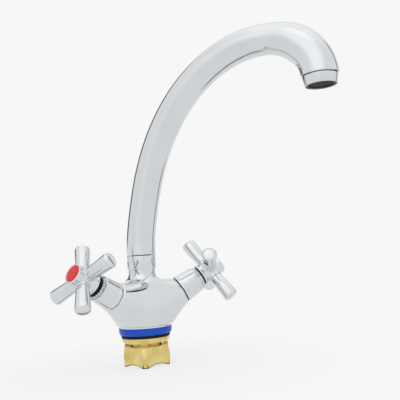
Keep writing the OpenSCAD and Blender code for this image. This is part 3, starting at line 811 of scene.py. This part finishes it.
def makeBase():
    form = baseForm
    inner, outer, gasketOuter = form["innerRadius"], form["ringRadius"], form["gasketRadius"]
    chamfer = (ringTop - gasketTop) / form["chamfersHigh"]
    ring = lathe("baseRing", softenCorners([
        (inner, gasketTop, 0), (outer - chamfer / 2, gasketTop, form["ringEdge"]),
        (outer, gasketTop + chamfer, form["ringShoulder"]), (outer, ringTop, form["ringEdge"]),
        (inner, ringTop, 0)]))
    gasket = lathe("baseGasket", softenCorners([
        (inner, deckTop, 0), (gasketOuter, deckTop, form["gasketEdge"]),
        (gasketOuter, gasketTop, form["gasketEdge"]), (inner, gasketTop, 0)]))
    fitPiece(ring, "tap_body", "blueMoulding", "blue_plastic", "base_ring")
    fitPiece(gasket, "tap_body", "blackRubber", "black_rubber", "base_gasket")


makeBase()
print("collar and base: turned")

# fixing nut

nutForm = {"voxel": 0.32, "rounds": 14, "crisp": 60}


# the brass nut and the hubs keep their CAD form, with the edges softened as on a casting
def softCopy(nodeName, pieceName, form):
    worker = addObject(pieceName, nodes[nodeName].data.copy())
    addModifier(worker, "weld", "WELD", merge_threshold=weldGap * mm)
    addModifier(worker, "voxels", "REMESH", mode="VOXEL", voxel_size=form["voxel"] * mm)
    addModifier(worker, "soften", "SMOOTH", factor=smoothing, iterations=form["rounds"])
    return finishMesh(pieceName, bakeModifiers(worker), form["crisp"])


fitPiece(softCopy("mounting_nut", "fixingNut", nutForm), "nut", "castBrass", "raw_brass", "mounting_nut")
print("nut: softened")

# handles: hub, arms and index

handleTurns = {"hot": 31.4, "cold": 58.8}  # each handle's resting turn on its spindle
hubForm = {"voxel": 0.26, "rounds": 8, "crisp": 60}
armForm = {
    "count": 4,
    "start": 9.85,
    "rootRadius": 5.9,
    "rootEdge": 0.4,
    "endRadius": 7.0,
    "reach": 33.6,
    "edge": 1.3,
    "dome": 1.5,
    "domeDrop": 0.4,  # how far under the dome's top the end's rounding aims
    "domeShare": 0.6,
    "studRadius": 3.0,
    "studRoot": 5.3,
    "studEdge": 0.3,
    "cornerSteps": 6,
    "domeSteps": 8,
    "sides": 72,
}
indexForm = {
    "radius": 7.7,
    "body": 2.2,
    "bodyEdge": 0.2,
    "faceEdge": 0.5,
    "dome": 0.8,
    "domeShare": 0.96,
    "domeStep": 0.12,
    "domeSteps": 10,
    "stem": 3.6,
    "stemLength": 3.2,
    "stemEdge": 0.3,
}


def handlePlace(label):
    turn = Matrix.Rotation(math.radians(handleTurns[label]), 4, "Z")
    return valvePlace(valveSides[label]) @ turn


def makeArm(name, place, body, stoodFor):
    form = armForm
    top = form["reach"] + form["dome"]
    outline = softenCorners([
        (0, form["studRoot"], 0), (form["studRadius"], form["studRoot"], form["studEdge"]),
        (form["studRadius"], form["start"], 0), (form["rootRadius"], form["start"], form["rootEdge"]),
        (form["endRadius"], form["reach"], form["edge"]),
        (form["endRadius"] * form["domeShare"], top - form["domeDrop"], 0)], form["cornerSteps"])
    outline.pop()  # the last corner only aims the end's rounding
    addDome(outline, top, form["domeSteps"])
    arm = lathe(name, outline, place, form["sides"], False)
    fitPiece(arm, body, "chromePlate", "chrome_plate", stoodFor)


def makeIndex(name, place, face, body, finishName, slotName, stoodFor):
    form = indexForm
    rim, stem, base = form["radius"], form["stem"], face - form["body"]
    foot = base - form["stemLength"]
    outline = softenCorners([
        (0, foot, 0), (stem, foot, form["stemEdge"]), (stem, base, 0), (rim, base, form["bodyEdge"]),
        (rim, face, form["faceEdge"]), (rim * form["domeShare"], face + form["domeStep"], 0)])
    addDome(outline, face + form["dome"], form["domeSteps"])
    fitPiece(lathe(name, outline, place, closed=False), body, finishName, slotName, stoodFor)


def makeHandle(label, indexFinish, indexSlot):
    body, hub = label + "_handle", label + "_hub"
    fitPiece(softCopy(hub, label + "Hub", hubForm), body, "chromePlate", "chrome_plate", hub)
    hubEnd = stationsOf(hub, valveSides[label])[1]
    armLow, armHigh = stationsOf(label + "_arm_1", valveSides[label])
    centre = handlePlace(label) @ Matrix.Translation((0, 0, (armLow + armHigh) / 2 * mm))
    tip = Matrix.Rotation(math.radians(90), 4, "Y")
    for i in range(armForm["count"]):
        turn = Matrix.Rotation(math.radians(360 / armForm["count"] * i), 4, "Z")
        makeArm(f"{label}Arm{i + 1}", centre @ turn @ tip, body, f"{label}_arm_{i + 1}")
    makeIndex(label + "Index", handlePlace(label), hubEnd, body, indexFinish, indexSlot, label + "_index")


makeHandle("hot", "redMoulding", "red_plastic")
makeHandle("cold", "blueMoulding", "blue_plastic")
print("handles: made")

# bonnet sleeves

sleeveForm = {
    "start": 41.4,
    "startEdge": 0.7,
    "end": 59.8,
    "endRadius": 12.0,
    "endEdge": 0.8,
    "rimRadius": 13.4,
    "rimHeight": 2.5,
    "rimStep": 0.35,
    "rimEdge": 0.3,
    "stepEdge": 0.2,
    "wall": 1.1,
    "endWall": 1.7,
    "lip": 1.2,
    "lipBore": 8.05,
}


def makeSleeve(label):
    form = sleeveForm
    rim, step, start, end = form["rimRadius"], form["rimStep"], form["start"], form["end"]
    rimEnd = start + form["rimHeight"]
    sleeve = lathe(label + "Sleeve", softenCorners([
        (rim - form["wall"], start, 0), (rim, start, form["startEdge"]), (rim, rimEnd, form["rimEdge"]),
        (rim - step, rimEnd + step, form["stepEdge"]), (form["endRadius"], end, form["endEdge"]),
        (form["lipBore"], end, 0), (form["lipBore"], end - form["lip"], 0),
        (form["endRadius"] - form["endWall"], end - form["lip"], 0)]), valvePlace(valveSides[label]))
    fitPiece(sleeve, "tap_body", "chromePlate", "chrome_plate", label + "_bonnet_sleeve")


makeSleeve("hot")
makeSleeve("cold")
print("sleeves: turned")

# nose of the spout: housing and woven screen, measured out from the spout's end

housingForm = {
    "threadRadius": 13.0,
    "threadLength": 5.0,
    "wallRadius": 11.6,
    "topRadius": 14.8,
    "topEdge": 0.4,
    "topEases": 3,  # its top stands this many seam eases back from the seam
    "height": 8.6,
    "sideFoot": (13.25, 7.9, 0.5),  # radius, height, rounding
    "lip": (12.9, 0.3),  # radius, rounding
    "boreRadius": 12.7,
    "boreEdge": 0.1,
    "floor": 1.4,
}
screenForm = {
    "radius": 10.75,
    "depth": 1.6,  # from the housing's lip to the screen's middle
    "wirePitch": 0.62,
    "wireRadius": 0.13,
    "wireSides": 5,
    "wireStepsPerPitch": 3,
    "leastSteps": 4,
    "lift": 0.85,  # of the wire's radius, over and under the crossing wires
    "rim": 0.8,
    "rimBelow": 0.3,
    "rimAbove": 0.35,
    "rimEdge": 0.15,
}


def makeHousing():
    form = housingForm
    thread, wall = form["threadRadius"], form["wallRadius"]
    top = tap["seam"] + form["topEases"] * tap["seamEase"]
    lipRadius, lipEdge = form["lip"]
    housing = lathe("noseHousing", softenCorners([
        (wall, -form["threadLength"], 0), (thread, -form["threadLength"], 0), (thread, top, 0),
        (form["topRadius"], top, form["topEdge"]), form["sideFoot"],
        (lipRadius, form["height"], lipEdge), (form["boreRadius"], form["height"], form["boreEdge"]),
        (form["boreRadius"], form["floor"], 0), (wall, form["floor"], 0)]), nosePlace)
    fitPiece(housing, "spout_arm", "chromePlate", "chrome_plate", "aerator_housing")


# one waved wire of the weave, as rings of points; family 0 runs along x and family 1 along y
def wireRings(family, row, reach, level):
    form = screenForm
    pitch, thick, sides = form["wirePitch"], form["wireRadius"], form["wireSides"]
    offset = row * pitch
    half = math.sqrt(max(reach * reach - offset * offset, 0))
    if half < pitch:
        return []
    steps = max(form["leastSteps"], int(2 * half / pitch * form["wireStepsPerPitch"]))
    rings = []
    for s in range(steps + 1):
        along = -half + 2 * half * s / steps
        height = level + thick * form["lift"] * math.cos(math.pi * (along / pitch + row + family))
        ring = []
        for corner in range(sides):
            a = 2 * math.pi * corner / sides
            across = offset + thick * math.cos(a)
            x, y = (along, across) if family == 0 else (across, along)
            ring.append((x * mm, y * mm, (height + thick * math.sin(a)) * mm))
        rings.append(ring)
    return rings


def makeScreen():
    form = screenForm
    level = housingForm["height"] - form["depth"]
    reach = form["radius"] - form["rim"] / 2
    count = int(reach / form["wirePitch"])
    verts, faces = [], []
    for family in (0, 1):
        for row in range(-count, count + 1):
            numbers = []
            for ring in wireRings(family, row, reach, level):
                numbers.append(list(range(len(verts), len(verts) + len(ring))))
                verts += ring
            if numbers:
                faces += ringFaces(numbers, False) + [numbers[0], numbers[-1]]
    screen = finishMesh("noseScreen", meshFrom("noseScreen", verts, faces, nosePlace))
    inner, low, high = form["radius"] - form["rim"], level - form["rimBelow"], level + form["rimAbove"]
    rim = lathe("screenRim", softenCorners([
        (inner, low, 0), (form["radius"], low, 0), (form["radius"], high, form["rimEdge"]),
        (inner, high, form["rimEdge"])]), nosePlace)
    for piece in (screen, rim):
        fitPiece(piece, "spout_arm", "darkWire", "grey_plastic", "aerator_screen")
    print("screen:", len(faces), "faces")


makeHousing()
makeScreen()

# camera

cameraFacts = {
    "distance": 0.6105,
    "azimuth": 26.91,  # the camera stands this far from the front towards the hot side
    "height": 0.0748,
    "pitch": -4.46,
    "yaw": -5.44,
    "roll": -3.71,
    "focal": 58.615,
    "sensor": 36.0,
}
azimuth = math.radians(cameraFacts["azimuth"])
toRight = Vector((math.cos(azimuth), -math.sin(azimuth), 0))
toCamera = Vector((-math.sin(azimuth), -math.cos(azimuth), 0))


def makeCamera():
    facts = cameraFacts
    level = Matrix((toRight, Vector((0, 0, -1)), -toCamera))  # rows: right, down, ahead
    roll, pitch, yaw = (math.radians(facts[k]) for k in ("roll", "pitch", "yaw"))
    lean = Matrix.Rotation(roll, 3, "Z") @ Matrix.Rotation(pitch, 3, "X") @ Matrix.Rotation(yaw, 3, "Y")
    aim = lean @ level
    turn = Matrix((aim[0], -aim[1], -aim[2])).transposed()
    lens = bpy.data.cameras.new("photoCamera")
    lens.lens = facts["focal"]
    lens.sensor_width = facts["sensor"]
    camera = addObject("photoCamera", lens)
    stand = toCamera * facts["distance"] + Vector((0, 0, facts["height"]))
    camera.matrix_world = Matrix.Translation(stand) @ turn.to_4x4()
    scene.camera = camera


# studio: floor, world and lamps, in metres

studio = {
    "paper": (0.93, 0.93, 0.93),
    "floorSize": 6.0,
    "floorGap": 0.0003,
    "shadowShare": 0.2,
    "shadowFade": (0.05, 0.24),
    "diffuseWorld": 0.75,
    # what the chrome sees: a wall that is lighter high up, a soft box and a lighter ceiling
    "wall": (0.88, 0.94),
    "wallSpan": (-0.3, 0.8),
    "boxGain": 0.26,
    "boxSpan": (0.66, 0.99),
    "boxAim": (0.72, -0.36, 0.6),  # to the camera, to its right, up
    "topGain": 0.21,
    "topSpan": (0.72, 0.95),
    # dark flags: how far towards the camera, from -1 right behind to 0 straight to the side, then the
    # spans that each covers round the line of sight, in degrees up from the right, and how dark it is
    "flags": [
        {"ahead": (-0.95, -0.62), "clocks": [(118, 176), (-184, -176)], "depth": 1.0},
        {"ahead": (-0.43, -0.24), "clocks": [(-20, 45), (-110, -54)], "depth": 0.8},
    ],
    "flagShade": (0.16, 0.17, 0.18),
    "aheadSoft": 0.04,
    "clockSoft": 4,
    "lampAim": (0, 0, 0.1),
    "lamps": {
        "keyLamp": {"place": (-1.2, -0.9, 1.4), "size": (0.9, 0.9), "power": 5.0},
        "fillLamp": {"place": (1.3, -0.6, 0.9), "size": (0.8, 1.2), "power": 3.0},
    },
}


# plain paper: it glows at its own colour far out, and takes a share of the shadow near the tap
def paperMaterial():
    material, tree, out = emptyMaterial("floorPaper")
    paper = addNode(tree, "BsdfDiffuse", {"Color": studio["paper"]})
    glow = addNode(tree, "Emission", {"Color": studio["paper"]})
    path = addNode(tree, "LightPath").outputs
    seen = mathNode(tree, "MAXIMUM", path["Is Camera Ray"], path["Is Glossy Ray"])
    reach = addNode(tree, "VectorMath", {0: objectPlace(tree)}, operation="LENGTH").outputs["Value"]
    fade = mapRange(tree, reach, studio["shadowFade"], (1 - studio["shadowShare"], 1))
    share = mathNode(tree, "MULTIPLY", fade, seen)
    fillInputs(tree, out, {"Surface": mixShaders(tree, share, paper.outputs[0], glow.outputs[0])})
    return material


def makeFloor():
    half = studio["floorSize"] / 2
    level = cadBox[0].z - studio["floorGap"]
    corners = [(-half, -half, level), (half, -half, level), (half, half, level), (-half, half, level)]
    floor = addObject("floor", meshFrom("floor", corners, [(0, 1, 2, 3)]))
    floor.visible_glossy = False
    floor.data.materials.append(paperMaterial())


# a soft-edged mask, 1 where the value lies between low and high
def between(tree, value, low, high, soft):
    rise = mapRange(tree, value, (low - soft, low + soft))
    fall = mapRange(tree, value, (high + soft, high - soft))
    return mathNode(tree, "MULTIPLY", rise, fall)


def alongWay(tree, view, way):
    return addNode(tree, "VectorMath", {0: view, 1: way}, operation="DOT_PRODUCT").outputs["Value"]


# what the chrome mirrors: the light of wall, box and ceiling, with the flags in front
def mirroredColour(tree):
    view = addNode(tree, "TexCoord").outputs["Generated"]
    up = Vector((0, 0, 1))
    ahead, right, high = (alongWay(tree, view, way) for way in (toCamera, toRight, up))
    boxAhead, boxRight, boxUp = studio["boxAim"]
    boxed = alongWay(tree, view, boxAhead * toCamera + boxRight * toRight + boxUp * up)
    light = mapRange(tree, high, studio["wallSpan"], studio["wall"])
    light = mathNode(tree, "ADD", light, mapRange(tree, boxed, studio["boxSpan"], (0, studio["boxGain"])))
    light = mathNode(tree, "ADD", light, mapRange(tree, high, studio["topSpan"], (0, studio["topGain"])))
    clock = mathNode(tree, "MULTIPLY", mathNode(tree, "ARCTAN2", high, right), math.degrees(1))
    masks = []
    for flag in studio["flags"]:
        spans = [between(tree, clock, *span, studio["clockSoft"]) for span in flag["clocks"]]
        mask = between(tree, ahead, *flag["ahead"], studio["aheadSoft"])
        mask = mathNode(tree, "MULTIPLY", mask, mathNode(tree, "MAXIMUM", *spans))
        masks.append(mathNode(tree, "MULTIPLY", mask, flag["depth"]))
    return mixColours(tree, mathNode(tree, "MAXIMUM", *masks), light, studio["flagShade"])


def makeWorld():
    scene.world = bpy.data.worlds.new("studioWorld")
    scene.world.use_nodes = True
    tree = scene.world.node_tree
    tree.nodes.clear()
    mirror = addNode(tree, "Background", {"Color": mirroredColour(tree)})
    paper = addNode(tree, "Background", {"Color": studio["paper"]})
    dim = addNode(tree, "Background", {"Color": studio["paper"], "Strength": studio["diffuseWorld"]})
    path = addNode(tree, "LightPath").outputs
    light = mixShaders(tree, path["Is Glossy Ray"], dim.outputs[0], mirror.outputs[0])
    light = mixShaders(tree, path["Is Camera Ray"], light, paper.outputs[0])
    addNode(tree, "OutputWorld", {"Surface": light})


def makeLamp(name, facts):
    lamp = bpy.data.lights.new(name, "AREA")
    lamp.shape = "RECTANGLE"
    lamp.size, lamp.size_y = facts["size"]
    lamp.energy = facts["power"]
    holder = addObject(name, lamp)
    holder.visible_glossy = False
    holder.location = facts["place"]
    way = Vector(studio["lampAim"]) - Vector(facts["place"])
    holder.rotation_euler = way.to_track_quat("-Z", "Y").to_euler()


makeCamera()
makeFloor()
makeWorld()
for name, facts in studio["lamps"].items():
    makeLamp(name, facts)
scene.view_settings.view_transform = "Standard"
print("studio: ready")
